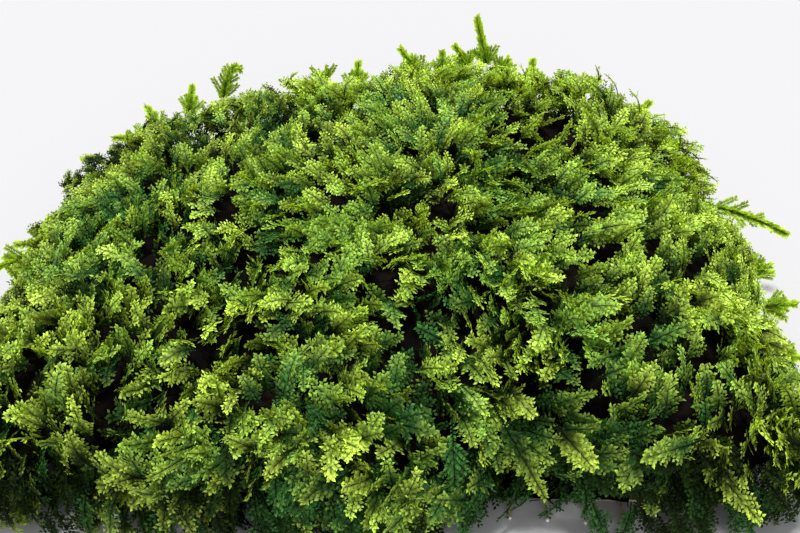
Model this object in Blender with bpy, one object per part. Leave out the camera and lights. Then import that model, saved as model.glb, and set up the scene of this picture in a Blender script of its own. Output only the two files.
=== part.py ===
"""A clump of fir-leaved moss that has grown over a square of wire mesh, at its real size.

Metres, +Z up. The origin is on the underside of the mesh's middle wire crossing. +X is the long way
across the clump, and -Y is its front, where the cut wire ends show under the moss.
"""

import math
import random

import bmesh
import bpy
from mathutils import Vector, noise

MM = 0.001
TOUCHING_GAP = 0.3 * MM
SEED = 11

# Wire mesh: square holes, cut between wires so that short ends stick out all round
WIRE_PITCH = 5.0 * MM
WIRE_COUNT = 15
WIRE_THICKNESS = 0.6 * MM
WIRE_END_LENGTH = 4.7 * MM

# Old growth: a thin brown mat, which stops short of the cut wire ends
MAT_HALF_WIDTH = 35.0 * MM
MAT_TOP = 5.4 * MM
MAT_EDGE_DROP = 1.4 * MM
MAT_CELLS = 9
MAT_ROUGHNESS = 0.9 * MM
MAT_LUMP_SPACING = 7.0 * MM
MAT_NOISE_PLACE = Vector((3.1, 0.4, 8.2))
MAT_CORNER_TRIM = 0.06
MAT_EDGE_WOBBLE = 0.03

# Living cushion: a flat dome, widest a little above the mesh, that overhangs it all round
CUSHION_CENTRE = Vector((-1.0 * MM, 0.5 * MM, 0.0))
CUSHION_HALF_WIDTH = 53.5 * MM
CUSHION_FRONT_REACH = 46.0 * MM
CUSHION_BACK_REACH = 43.0 * MM
FRONT_CORNER_POWER = 5.5
BACK_RIGHT_CORNER_POWER = 3.6
BACK_LEFT_CORNER_POWER = 2.8
EDGE_WOBBLE = 0.03
EDGE_WOBBLE_RADIUS = 1.6
EDGE_WOBBLE_PLACE = 4.7
RIGHT_FLARE = 0.20
RIGHT_FLARE_START = 10 * MM
LEFT_FLARE = 0.55
LEFT_FLARE_START = 32 * MM
WAIST_HEIGHT = 9.5 * MM
TOP_HEIGHT = 27.0 * MM
RISE_TO_RIGHT = 0.17
RISE_TO_BACK = 0.18
HUMP_PLACE = Vector((16 * MM, 28 * MM, 0.0))
HUMP_RADIUS = 40 * MM
HUMP_HEIGHT = 5.0 * MM
SIDE_FULLNESS = 0.85
TOP_FULLNESS = 0.9

# Below its widest line the cushion draws in to a rim, and a shallow hood over the mat closes it
DOME_SHARE = 0.86
RIM_HEIGHT = 4.4 * MM
RIM_DRAW_IN = 0.10
HOOD_SHARE = 0.80
HOOD_HEIGHT = MAT_TOP + MAT_ROUGHNESS + TOUCHING_GAP

# Bays in the front edge, where the wire ends or the bare floor show: middle, half width, depth, lift
FRONT_BAYS = [
    (27 * MM, 21 * MM, 8.5 * MM, 4.5 * MM),
    (-32 * MM, 8 * MM, 3.0 * MM, 0.5 * MM),
]

# Relief of the cushion: rounded crowns, dark hollows between them, and a pointed tuft on every facet
CORE_SHARE = 0.72
CORE_HEIGHT = WAIST_HEIGHT - 3.0 * MM
CUSHION_CELLS = 23
CELL_JITTER = 0.26
CROWN_COUNT = 70
CROWN_TURN = 0.15
CROWN_SIZES = (0.5, 1.2)
CROWN_RADIUS = 7.5 * MM
CROWN_HEIGHT = 3.2 * MM
HOLLOW_RADIUS = 6.5 * MM
HOLLOW_DEPTH = 5.0 * MM
HOLLOWS = [(4, 11), (-37, -6), (-19, -9), (-12, 27), (22, -4), (-30, 15)]
TUFT_HEIGHT = 3.8 * MM
TUFT_SIZES = (0.7, 1.25)
TUFT_SLENDERNESS = 1.25
TUFT_FACET_SHARE = 0.6
TUFT_LEAN = 1.8 * MM
TUFT_LEAN_SPACING = 11.0 * MM
TUFT_LEAN_PLACE = Vector((0.7, 5.2, 1.9))

# Single shoots that stand clear: name, foot and tip in millimetres, arch in millimetres, pairs of leaves
SHOOTS = [
    ("back_spire", (15, 44, 27), (12, 48, 36), 0.5, 5),
    ("back_twin_long", (10, 45, 24), (8, 46, 31), 0.5, 4),
    ("back_twin_short", (6, 44, 25), (6, 46, 30), 0.5, 3),
    ("back_leaning_shoot", (2, 42, 26), (-2, 44, 31), 0.6, 3),
    ("back_notch_shoot", (18, 44, 25), (19, 46, 29), 0.4, 3),
    ("back_forked_shoot", (21, 43, 23), (23, 46, 29), 0.4, 3),
    ("back_dart", (27, 43, 21), (31, 46, 26), 0.6, 3),
    ("back_long_dart", (32, 41, 22), (36, 44, 26), 0.8, 4),
    ("back_broad_shoot", (-9, 46, 21), (-10, 49, 26), 0.5, 3),
    ("back_thin_shoot", (-16, 45, 20), (-17, 47, 24), 0.3, 3),
    ("back_curl", (-35, 38, 22), (-30.3, 41, 24), 9.5, 5),
    ("back_post", (-42, 39, 20), (-41, 42, 23), 0.3, 3),
    ("back_left_shoot", (-46, 40, 15), (-51, 42, 18), 0.6, 3),
    ("left_curl", (-50, 36, 13), (-57, 37, 13), 1.0, 3),
    ("left_high_shoot", (-56, 27, 10), (-61, 27, 10), 0.6, 3),
    ("left_middle_shoot", (-59, 5, 10), (-64, 4, 10), 0.6, 3),
    ("left_long_shoot", (-59, 0, 9), (-65, -2, 9), 0.8, 3),
    ("right_shoulder_shoot", (41, 38, 22), (45, 40, 24), 0.4, 3),
    ("right_trailing_sprig", (55, 19, 14), (67, 16, 11), 1.2, 6),
    ("right_upturned_shoot", (58, 4, 9), (62, 6, 12), 0.6, 3),
    ("right_low_shoot", (58, -4, 9), (64, -3, 11), 0.6, 3),
    ("right_front_shoot", (59, -13, 9), (63, -14, 9), 0.5, 3),
]
SHOOT_HALF_WIDTH = 1.25 * MM
SHOOT_THICKNESS = 0.45 * MM
SHOOT_STEM_SHARE = 0.45
SHOOT_LEAF_SWEEP = 0.5
SHOOT_FACING = Vector((0, -0.5, 1))
SHOOT_ENDS = (0.12, 0.92)
SHOOT_FULLNESS = 0.6
SHOOT_CLEARANCE = 0.45 * MM


def clear_scene():
    for item in list(bpy.data.objects):
        bpy.data.objects.remove(item, do_unlink=True)


def material(name, colour, roughness, metallic=0.0):
    made = bpy.data.materials.new(name)
    made.use_nodes = True
    shader = made.node_tree.nodes["Principled BSDF"]
    shader.inputs["Base Color"].default_value = (*colour, 1.0)
    shader.inputs["Roughness"].default_value = roughness
    shader.inputs["Metallic"].default_value = metallic
    return made


def add_object(name, bm, finish):
    bmesh.ops.recalc_face_normals(bm, faces=bm.faces)
    mesh = bpy.data.meshes.new(name)
    bm.to_mesh(mesh)
    bm.free()
    mesh.materials.append(finish)
    item = bpy.data.objects.new(name, mesh)
    bpy.context.scene.collection.objects.link(item)
    return item


def bump(distance, radius):
    """A smooth hump: 1 in the middle, 0 from the radius on."""
    return max(0.0, 1 - (distance / radius) ** 2) ** 2


def extrude_rim(bm):
    """Adds a ring of faces to the open edge and returns its new points."""
    rim = [edge for edge in bm.edges if edge.is_boundary]
    grown = bmesh.ops.extrude_edge_only(bm, edges=rim)
    return [item for item in grown["geom"] if isinstance(item, bmesh.types.BMVert)]


def close_rim(bm):
    rim = [edge for edge in bm.edges if edge.is_boundary]
    bmesh.ops.contextual_create(bm, geom=rim)


# Wire mesh

def wire_cuts():
    """Lines across the mesh where a wire or a cut end starts or stops, low to high."""
    first = -0.5 * (WIRE_COUNT - 1) * WIRE_PITCH
    centres = [first + index * WIRE_PITCH for index in range(WIRE_COUNT)]
    sides = [centre + side * WIRE_THICKNESS / 2 for centre in centres for side in (-1, 1)]
    reach = -first + WIRE_END_LENGTH
    return [-reach, *sides, reach]


def make_wire_mesh(finish):
    """One flat lattice: a cell is kept where a wire runs through it either way, then given its thickness."""
    cuts = wire_cuts()
    bm = bmesh.new()
    corners = {}

    def corner(column, row):
        if (column, row) not in corners:
            corners[column, row] = bm.verts.new((cuts[column], cuts[row], 0.0))
        return corners[column, row]

    for column in range(len(cuts) - 1):
        for row in range(len(cuts) - 1):
            if column % 2 == 0 and row % 2 == 0:
                continue
            around = [(column, row), (column + 1, row), (column + 1, row + 1), (column, row + 1)]
            bm.faces.new([corner(*place) for place in around])
    grown = bmesh.ops.extrude_face_region(bm, geom=bm.faces[:])
    lifted = [item for item in grown["geom"] if isinstance(item, bmesh.types.BMVert)]
    bmesh.ops.translate(bm, verts=lifted, vec=(0, 0, WIRE_THICKNESS))
    return add_object("wire_mesh", bm, finish)


# Old growth

def make_old_growth_mat(finish):
    """A slab with an uneven top and a ragged edge, lying just over the wires."""
    bm = bmesh.new()
    bmesh.ops.create_grid(bm, x_segments=MAT_CELLS, y_segments=MAT_CELLS, size=MAT_HALF_WIDTH)
    for vert in bm.verts:
        wobble = noise.noise(vert.co / MAT_LUMP_SPACING + MAT_NOISE_PLACE)
        height = MAT_TOP + MAT_ROUGHNESS * wobble
        if vert.is_boundary:
            toward_corner = abs(vert.co.x * vert.co.y) / MAT_HALF_WIDTH ** 2
            vert.co *= 1 - MAT_CORNER_TRIM * toward_corner ** 2 + MAT_EDGE_WOBBLE * wobble
            height -= MAT_EDGE_DROP
        vert.co.z = height
    for vert in extrude_rim(bm):
        vert.co.z = WIRE_THICKNESS + TOUCHING_GAP
    close_rim(bm)
    return add_object("old_growth_mat", bm, finish)


# Living cushion

def bay_shares(across):
    """How much of each front bay there is at a place across the clump."""
    return [(bump(across - middle, half_width), depth, lift) for middle, half_width, depth, lift in FRONT_BAYS]


def footprint_radius(angle):
    """Distance from the cushion's middle to its widest line, a rounded rectangle with a slow wobble."""
    right = math.cos(angle)
    back = math.sin(angle)
    if back > 0:
        half_depth = CUSHION_BACK_REACH
        power = BACK_RIGHT_CORNER_POWER if right > 0 else BACK_LEFT_CORNER_POWER
    else:
        half_depth = CUSHION_FRONT_REACH
        power = FRONT_CORNER_POWER
    reach = (abs(right / CUSHION_HALF_WIDTH) ** power + abs(back / half_depth) ** power) ** (-1 / power)
    circle_place = Vector((EDGE_WOBBLE_RADIUS * right, EDGE_WOBBLE_RADIUS * back, EDGE_WOBBLE_PLACE))
    return reach * (1 + EDGE_WOBBLE * noise.noise(circle_place))


def flared(offset):
    """Spreads the front corners: the right one sideways, the left one forward."""
    forward = max(0.0, -offset.y)
    if offset.x > 0:
        offset.x *= 1 + RIGHT_FLARE * max(0.0, forward - RIGHT_FLARE_START) / CUSHION_FRONT_REACH
    elif forward:
        offset.y *= 1 + LEFT_FLARE * max(0.0, -offset.x - LEFT_FLARE_START) / CUSHION_HALF_WIDTH
    return offset


def disc_place(u, v):
    """Turns a place on the unit square into a share of the way out and an angle, with even cells."""
    if abs(u) > abs(v):
        return abs(u), math.pi / 4 * v / u + (math.pi if u < 0 else 0)
    if v:
        return abs(v), math.pi / 2 - math.pi / 4 * u / v + (math.pi if v < 0 else 0)
    return 0.0, 0.0


def mound_point(u, v):
    """The smooth cushion at a place on the unit square: its middle is the top, its edge the rim."""
    share, angle = disc_place(u, v)
    reach = footprint_radius(angle)
    lift = 0.0
    if math.sin(angle) < 0:
        for amount, depth, bay_lift in bay_shares(reach * math.cos(angle)):
            reach -= amount * depth
            lift += amount * bay_lift
    waist = WAIST_HEIGHT + lift
    if share < DOME_SHARE:
        climb = math.pi / 2 * (1 - share / DOME_SHARE)
        reach *= math.cos(climb) ** SIDE_FULLNESS
    else:
        tuck = (share - DOME_SHARE) / (1 - DOME_SHARE)
        reach *= 1 - RIM_DRAW_IN * tuck ** 2
    offset = flared(Vector((reach * math.cos(angle), reach * math.sin(angle), 0.0)))
    if share < DOME_SHARE:
        slope = 1 + RISE_TO_RIGHT * offset.x / CUSHION_HALF_WIDTH + RISE_TO_BACK * offset.y / CUSHION_BACK_REACH
        crest = (TOP_HEIGHT - waist) * slope + HUMP_HEIGHT * bump((offset - HUMP_PLACE).length, HUMP_RADIUS)
        height = waist + crest * math.sin(climb) ** TOP_FULLNESS
    else:
        height = waist - (WAIST_HEIGHT - RIM_HEIGHT) * tuck
    return CUSHION_CENTRE + offset + Vector((0, 0, height))


def outward(point):
    """Way out of the cushion at a point: away from a flat core inside it."""
    core = Vector((CORE_SHARE * point.x, CORE_SHARE * point.y, CORE_HEIGHT))
    return (point - core).normalized()


def crown_places(rng):
    """Crowns spread evenly over the dome in a sunflower spiral, each a little out of line."""
    golden = math.pi * (3 - math.sqrt(5))
    places = []
    for index in range(CROWN_COUNT):
        share = math.sqrt((index + 0.5) / CROWN_COUNT)
        angle = index * golden + rng.uniform(-CROWN_TURN, CROWN_TURN)
        place = mound_point(share * math.cos(angle), share * math.sin(angle))
        places.append((place, rng.uniform(*CROWN_SIZES)))
    return places


def relief(point, crowns):
    """How far the surface stands out of the smooth cushion: up on a crown, in at a hollow."""
    height = sum(size * CROWN_HEIGHT * bump((point - place).length, CROWN_RADIUS) for place, size in crowns)
    for x, y in HOLLOWS:
        away = math.hypot(point.x - x * MM, point.y - y * MM)
        height -= HOLLOW_DEPTH * bump(away, HOLLOW_RADIUS)
    return height


def tuft_tip(face, rng):
    """Point of the tuft on a facet: it stands out of the facet and leans the way its neighbours do."""
    middle = face.calc_center_median()
    drift = noise.noise_vector(middle / TUFT_LEAN_SPACING + TUFT_LEAN_PLACE)
    height = min(TUFT_HEIGHT * rng.uniform(*TUFT_SIZES), TUFT_SLENDERNESS * math.sqrt(face.calc_area()))
    stand = outward(middle).lerp(face.normal, TUFT_FACET_SHARE).normalized()
    return middle + stand * height + drift * TUFT_LEAN * height / TUFT_HEIGHT


def make_moss_cushion(finish, rng):
    """Facets over the whole cushion with a tuft on each. Returns the points of the tufts too."""
    crowns = crown_places(rng)
    bm = bmesh.new()
    bmesh.ops.create_grid(bm, x_segments=CUSHION_CELLS, y_segments=CUSHION_CELLS, size=1.0)
    for vert in bm.verts:
        jitter = 0.0 if vert.is_boundary else CELL_JITTER * 2 / CUSHION_CELLS
        u = vert.co.x + rng.uniform(-jitter, jitter)
        v = vert.co.y + rng.uniform(-jitter, jitter)
        smooth = mound_point(u, v)
        depth = 0.0 if vert.is_boundary else relief(smooth, crowns)
        vert.co = smooth + outward(smooth) * depth
    bmesh.ops.triangulate(bm, faces=bm.faces[:], quad_method="SHORT_EDGE")
    bm.normal_update()
    tips = [tuft_tip(face, rng) for face in bm.faces]
    poked = bmesh.ops.poke(bm, faces=bm.faces[:])
    for vert, tip in zip(poked["verts"], tips):
        vert.co = tip
    for vert in extrude_rim(bm):
        vert.co = Vector((vert.co.x * HOOD_SHARE, vert.co.y * HOOD_SHARE, HOOD_HEIGHT))
    close_rim(bm)
    add_object("moss_cushion", bm, finish)
    return tips


# Single shoots

def arch_points(root, tip, arch, steps):
    """Share of the way, point and direction along a gently arched line from root to tip."""
    middle = (root + tip) / 2 + Vector((0, 0, arch))
    for step in range(steps + 1):
        t = step / steps
        point = (1 - t) ** 2 * root + 2 * t * (1 - t) * middle + t ** 2 * tip
        along = 2 * (1 - t) * (middle - root) + 2 * t * (tip - middle)
        yield t, point, along.normalized()


def make_shoot(name, root, tip, arch, pairs, finish):
    """A flat saw-edged blade: every second ring is a wide one, set forward, for a pair of side leaves."""
    bm = bmesh.new()
    rings = []
    for index, (t, point, along) in enumerate(arch_points(root, tip, arch, 2 * pairs)):
        is_leafy = index % 2 == 1
        first, last = SHOOT_ENDS
        taper = math.sin(math.pi * (first + (last - first) * t)) ** SHOOT_FULLNESS
        width = SHOOT_HALF_WIDTH * taper * (1.0 if is_leafy else SHOOT_STEM_SHARE)
        side = along.cross(SHOOT_FACING).normalized() * width
        thickness = side.cross(along).normalized() * SHOOT_THICKNESS * taper
        forward = along * (SHOOT_LEAF_SWEEP * width if is_leafy else 0.0)
        around = [point + side + forward, point + thickness, point - side + forward, point - thickness]
        rings.append([bm.verts.new(place) for place in around])
    for low, high in zip(rings, rings[1:]):
        for corner in range(4):
            after = (corner + 1) % 4
            bm.faces.new((low[corner], low[after], high[after], high[corner]))
    bm.faces.new(rings[0])
    bm.faces.new(rings[-1])
    return add_object(name, bm, finish)


def make_shoots(tufts, finish):
    """Each shoot grows on from the point of the nearest tuft that has none yet."""
    free = list(tufts)
    for name, foot, tip, arch, pairs in SHOOTS:
        foot = Vector(foot) * MM
        tip = Vector(tip) * MM
        tuft = min(free, key=lambda place: (place - foot).length)
        free.remove(tuft)
        root = tuft + (tip - tuft).normalized() * SHOOT_CLEARANCE
        make_shoot(name, root, tip, arch * MM, pairs, finish)


def main():
    clear_scene()
    rng = random.Random(SEED)
    noise.seed_set(SEED)
    steel = material("steel_wire", (0.50, 0.46, 0.40), 0.3, 1.0)
    brown = material("old_growth", (0.035, 0.022, 0.018), 0.9)
    green = material("moss_green", (0.085, 0.140, 0.025), 0.5)
    light_green = material("young_green", (0.20, 0.32, 0.04), 0.5)
    make_wire_mesh(steel)
    make_old_growth_mat(brown)
    tufts = make_moss_cushion(green, rng)
    make_shoots(tufts, light_green)


main()
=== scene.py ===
# %% [markdown]
# # A clump of moss grown over wire mesh
# The real thing is a pad of water moss: a square of welded steel mesh, a brown felt of old stems that
# grips the wires, and over both a springy cushion of living fronds, each built like a tiny fir twig.
# This notebook dresses the clump's plain solids. The solids give every place and size, so the first step
# is to load them and to keep their box, whose top the frond tips stay under.

# %% Load the plain solids
import math

import bmesh
import bpy
import numpy as np
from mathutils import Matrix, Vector, noise


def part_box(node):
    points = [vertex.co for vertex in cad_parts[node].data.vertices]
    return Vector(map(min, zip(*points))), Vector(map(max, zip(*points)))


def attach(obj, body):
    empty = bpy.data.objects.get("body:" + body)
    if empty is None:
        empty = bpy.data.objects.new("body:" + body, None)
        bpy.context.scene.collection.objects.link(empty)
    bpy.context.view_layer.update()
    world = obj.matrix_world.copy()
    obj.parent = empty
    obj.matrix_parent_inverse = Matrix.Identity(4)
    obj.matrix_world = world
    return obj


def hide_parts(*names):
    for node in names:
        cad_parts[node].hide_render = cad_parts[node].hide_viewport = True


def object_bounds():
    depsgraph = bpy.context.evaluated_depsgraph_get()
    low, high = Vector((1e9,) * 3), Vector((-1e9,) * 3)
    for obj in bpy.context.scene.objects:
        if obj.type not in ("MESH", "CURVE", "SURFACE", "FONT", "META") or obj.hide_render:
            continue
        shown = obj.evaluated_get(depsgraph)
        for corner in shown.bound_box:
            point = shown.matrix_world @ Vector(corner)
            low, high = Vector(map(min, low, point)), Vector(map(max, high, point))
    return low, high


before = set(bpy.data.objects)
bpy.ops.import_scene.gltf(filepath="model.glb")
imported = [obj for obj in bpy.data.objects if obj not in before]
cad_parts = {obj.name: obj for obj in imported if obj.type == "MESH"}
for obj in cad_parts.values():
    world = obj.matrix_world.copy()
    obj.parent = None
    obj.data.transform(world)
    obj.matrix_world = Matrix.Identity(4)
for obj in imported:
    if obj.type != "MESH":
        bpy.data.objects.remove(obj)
cad_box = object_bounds()
MM = 0.001
print("solids span", [round(side / MM, 1) for side in cad_box[1] - cad_box[0]], "mm")

# %% [markdown]
# The camera comes first, because it decides how much detail each part of the moss needs. The picture
# was taken close up, from a little above the front edge and slightly from the right. A 45 mm lens on
# a 36 mm wide sensor gives the same strong narrowing towards the back.

# %% Set up the camera
CAMERA_PLACE = Vector((12.8, -129.4, 105.0)) * MM
CAMERA_LOOKS_DOWN = math.radians(35.5)
CAMERA_TURN = math.radians(4.75)
LENS_LENGTH = 45.0
SENSOR_WIDTH = 36.0


def add_camera():
    lens = bpy.data.cameras.new("camera")
    lens.lens = LENS_LENGTH
    lens.sensor_width = SENSOR_WIDTH
    lens.clip_start = 5 * MM
    item = bpy.data.objects.new("camera", lens)
    item.location = CAMERA_PLACE
    item.rotation_euler = (math.pi / 2 - CAMERA_LOOKS_DOWN, 0.0, CAMERA_TURN)
    bpy.context.scene.collection.objects.link(item)
    bpy.context.scene.camera = item


add_camera()
print("camera is", round(CAMERA_PLACE.length / MM), "mm from the middle of the mesh")

# %% [markdown]
# Many pieces below are grown by node trees. A tree could be drawn by hand in the editor, but written
# out it can be read and repeated. Small helpers do the wiring: one opens a tree with named inputs,
# one adds a node and feeds its inputs, and two more do that for sums and vectors.

# %% Helpers for node trees
SOCKET_KINDS = {
    float: "NodeSocketFloat",
    int: "NodeSocketInt",
    "material": "NodeSocketMaterial",
    "geometry": "NodeSocketGeometry",
    "colour": "NodeSocketColor",
    "object": "NodeSocketObject",
}


def pick(sockets, key):
    """The live socket of that name, identifier or position."""
    live = [socket for socket in sockets if socket.enabled]
    if isinstance(key, int):
        return live[key]
    return next(socket for socket in live if key in (socket.name, socket.identifier))


def add_node(tree, kind, inputs=None, **settings):
    """Adds a node, sets its properties, then links or fills its inputs."""
    made = tree.nodes.new(kind)
    for name, value in settings.items():
        setattr(made, name, value)
    for key, value in (inputs or {}).items():
        socket = pick(made.inputs, key)
        if isinstance(value, bpy.types.Node):
            value = pick(value.outputs, 0)
        if isinstance(value, bpy.types.NodeSocket):
            tree.links.new(value, socket)
        else:
            socket.default_value = value
    return made


def open_tree(name, kind, takes, gives):
    """A new tree with named inputs and outputs. Returns it with its input and output nodes."""
    tree = bpy.data.node_groups.new(name, kind)
    for label, socket in takes.items():
        tree.interface.new_socket(label, in_out="INPUT", socket_type=SOCKET_KINDS[socket])
    for label, socket in gives.items():
        tree.interface.new_socket(label, in_out="OUTPUT", socket_type=SOCKET_KINDS[socket])
    return tree, tree.nodes.new("NodeGroupInput"), tree.nodes.new("NodeGroupOutput")


def math_node(tree, operation, *values):
    return add_node(tree, "ShaderNodeMath", dict(enumerate(values)), operation=operation)


def vector_node(tree, operation, *values):
    return add_node(tree, "ShaderNodeVectorMath", dict(enumerate(values)), operation=operation)


print("a tree can have", len(SOCKET_KINDS), "kinds of input")

# %% [markdown]
# A tree is a modifier, and modifiers don't travel with an exported model. So each grown piece is
# evaluated once, turned into a plain mesh and freed of its modifier before it joins the clump.

# %% Turn a grown piece into a plain mesh
def grow(name, base_mesh, tree, **values):
    """Runs a tree on a mesh and returns the result as a plain mesh object."""
    item = bpy.data.objects.new(name, base_mesh)
    bpy.context.scene.collection.objects.link(item)
    modifier = item.modifiers.new("grow", "NODES")
    modifier.node_group = tree
    names = {socket.name: socket.identifier for socket in tree.interface.items_tree
             if socket.in_out == "INPUT"}
    for label, value in values.items():
        modifier[names[label.replace("_", " ")]] = value
    graph = bpy.context.evaluated_depsgraph_get()
    result = bpy.data.meshes.new_from_object(item.evaluated_get(graph), depsgraph=graph)
    item.modifiers.remove(modifier)
    item.data = result
    result.name = name
    return item


def triangle_count(item):
    item.data.calc_loop_triangles()
    return len(item.data.loop_triangles)


def finish_piece(item, slot, *nodes):
    """Stands the piece in for its solids, on the clump's one body."""
    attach(item, "root")
    if nodes:
        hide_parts(*nodes)
    print(item.name, "has", triangle_count(item), "triangles")


print("grown pieces will stand in for", len(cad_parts), "solids")

# %% [markdown]
# Real moss bends where it meets the surface it lies on. A leaf tip that would end below the floor is
# lifted to just above it, which is simpler than a collision and can't be told apart. The solids come
# as loose triangles, so a copy has its corners joined before its shape is worked on.

# %% Helpers for meshes
FLOOR_GAP = 0.12 * MM
SAME_PLACE = 0.001 * MM


def points_of(mesh):
    flat = np.empty(len(mesh.vertices) * 3)
    mesh.vertices.foreach_get("co", flat)
    return flat.reshape(-1, 3)


def keep_off_floor(item):
    points = points_of(item.data)
    points[:, 2] = np.maximum(points[:, 2], FLOOR_GAP)
    item.data.vertices.foreach_set("co", points.ravel())
    item.data.update()


def merged_copy(node):
    made = bmesh.new()
    made.from_mesh(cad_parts[node].data)
    bmesh.ops.remove_doubles(made, verts=made.verts, dist=SAME_PLACE)
    return made


print("leaves stay", FLOOR_GAP / MM, "mm above the floor")

# %% [markdown]
# ## Finishes
# Moss has no paint: its colour is leaf over leaf, so the finish has to change from leaf to leaf. A young
# tip is yellow-green and glossy, an older leaf is deep green and dull, and some fronds lean to
# blue-green. The darkest old green also stands in as painted shade deep in the cushion. Each leaf carries
# four numbers for this, which the growing trees write: `age`, `tint`, `shade`, and `reach`, which runs
# from nothing at the leaf's foot to one at its point. By `reach` every leaf is painted darker at its
# foot, as shade from the leaves over it, and lighter at its point. One shader group turns them into a
# colour and a roughness, and both leaf finishes use it.

# %% Build the leaf colour group
LEAF_SHADES = (0.5, 1.5)
# Painted shade at each leaf's foot and painted light at its point.
FOOT_SHADE_TO_POINT_LIGHT = (0.25, 1.75)
LEAF_ROUGHNESS = (0.28, 0.73)


def leaf_number(tree, name):
    """A number that the growing trees wrote on each leaf."""
    return add_node(tree, "ShaderNodeAttribute", attribute_name=name).outputs["Fac"]


def between(tree, share, ends):
    """Turns a share from nothing to one into a value between two ends."""
    return math_node(tree, "MULTIPLY_ADD", share, ends[1] - ends[0], ends[0])


def blend(tree, share, first, second):
    colours = {"Factor_Float": share, "A_Color": first, "B_Color": second}
    return add_node(tree, "ShaderNodeMix", colours, data_type="RGBA")


def build_leaf_colours():
    takes = {"Young": "colour", "Old": "colour", "Cool": "colour", "Cool Share": float}
    gives = {"Leaf": "colour", "Roughness": float}
    tree, enter, leave = open_tree("leaf_colours", "ShaderNodeTree", takes, gives)
    give = enter.outputs
    age = leaf_number(tree, "age")
    by_age = blend(tree, age, give["Young"], give["Old"])
    cool = math_node(tree, "MULTIPLY", leaf_number(tree, "tint"), give["Cool Share"])
    by_tint = blend(tree, cool, by_age, give["Cool"])
    by_leaf = between(tree, leaf_number(tree, "shade"), LEAF_SHADES)
    # Painted shade: the leaf's foot is darker and its point lighter.
    painted_foot_shade = between(tree, leaf_number(tree, "reach"), FOOT_SHADE_TO_POINT_LIGHT)
    value = math_node(tree, "MULTIPLY", by_leaf, painted_foot_shade)
    leaf = add_node(tree, "ShaderNodeHueSaturation", {"Value": value, "Color": by_tint})
    tree.links.new(leaf.outputs[0], leave.inputs["Leaf"])
    tree.links.new(between(tree, age, LEAF_ROUGHNESS).outputs[0], leave.inputs["Roughness"])
    return tree


leaf_colours = build_leaf_colours()
print("leaf colour group has", len(leaf_colours.nodes), "nodes")

# %% [markdown]
# Old stems and steel are blotched: brown felt has darker patches, and wire that lay under water has faint
# stains. One group makes such soft patches from a noise on the piece's own coordinates. Each finish gives
# it two colours, a grain, and the levels at which one colour passes into the other.

# %% Build the soft patches group
def build_soft_patches():
    takes = {"First": "colour", "Second": "colour", "From": float, "To": float, "Grain": float,
             "Detail": float}
    tree, enter, leave = open_tree("soft_patches", "ShaderNodeTree", takes, {"Colour": "colour"})
    give = enter.outputs
    place = add_node(tree, "ShaderNodeTexCoord").outputs["Object"]
    cloud = add_node(tree, "ShaderNodeTexNoise", {"Vector": place, "Scale": give["Grain"],
                     "Detail": give["Detail"]})
    share = add_node(tree, "ShaderNodeMapRange", {"Value": cloud.outputs["Fac"],
                     "From Min": give["From"], "From Max": give["To"]})
    patches = blend(tree, share, give["First"], give["Second"])
    tree.links.new(pick(patches.outputs, 0), leave.inputs["Colour"])
    return tree


soft_patches = build_soft_patches()
print("soft patches group has", len(soft_patches.nodes), "nodes")

# %% [markdown]
# A finish is a Principled shader with a group placed in it. Shine is set on the shader itself: steel
# keeps the usual amount, and moss and felt have little, because their cells scatter the light.

# %% Helpers for finishes
USUAL_SHINE = 0.5


def new_finish(name, roughness, metallic=0.0, shine=USUAL_SHINE):
    made = bpy.data.materials.new(name)
    made.use_nodes = True
    shader = made.node_tree.nodes["Principled BSDF"]
    shader.inputs["Roughness"].default_value = roughness
    shader.inputs["Metallic"].default_value = metallic
    shader.inputs["Specular IOR Level"].default_value = shine
    return made, made.node_tree, shader


def place_group(tree, group, values):
    """Places a shader group in a material and sets its inputs. Colours are made opaque."""
    made = tree.nodes.new("ShaderNodeGroup")
    made.node_tree = group
    for label, value in values.items():
        made.inputs[label].default_value = (*value, 1.0) if isinstance(value, tuple) else value
    return made


print("usual shine is", USUAL_SHINE)

# %% [markdown]
# A moss leaf is one cell thick. A Principled shader alone would make it plastic, so part of the light is
# sent through by a Translucent shader. That part makes the rim glow against the pale background. Its
# colour is painted weaker at each leaf's foot, as shade, and stronger than the leaf's own towards its
# point, as a painted glow.

# %% Make the leaf finishes
LEAF_SHINE = 0.12
GLOW_HUE = 0.49
GLOW_SATURATION = 1.1
# Painted shade at the leaf's foot and a painted glow at its point, in the light sent through.
GLOW_FOOT_SHADE_TO_POINT_LIGHT = (0.3, 2.3)


def leaf_finish(name, young, old, cool, cool_share, light_through):
    made, tree, shader = new_finish(name, LEAF_ROUGHNESS[0], shine=LEAF_SHINE)
    group = place_group(tree, leaf_colours, {"Young": young, "Old": old, "Cool": cool,
                        "Cool Share": cool_share})
    tree.links.new(group.outputs["Leaf"], shader.inputs["Base Color"])
    tree.links.new(group.outputs["Roughness"], shader.inputs["Roughness"])
    lit = blend(tree, leaf_number(tree, "age"), (*young, 1.0), (*old, 1.0))
    # The light sent through is painted weak at the foot and painted stronger than the leaf's own at the
    # point.
    strength = between(tree, leaf_number(tree, "reach"), GLOW_FOOT_SHADE_TO_POINT_LIGHT)
    glow = add_node(tree, "ShaderNodeHueSaturation", {"Hue": GLOW_HUE, "Color": lit,
                    "Saturation": GLOW_SATURATION, "Value": strength})
    through = add_node(tree, "ShaderNodeBsdfTranslucent", {"Color": glow})
    both = add_node(tree, "ShaderNodeMixShader", {"Fac": light_through})
    tree.links.new(shader.outputs[0], both.inputs[1])
    tree.links.new(through.outputs[0], both.inputs[2])
    tree.links.new(both.outputs[0], tree.nodes["Material Output"].inputs["Surface"])
    return made


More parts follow.
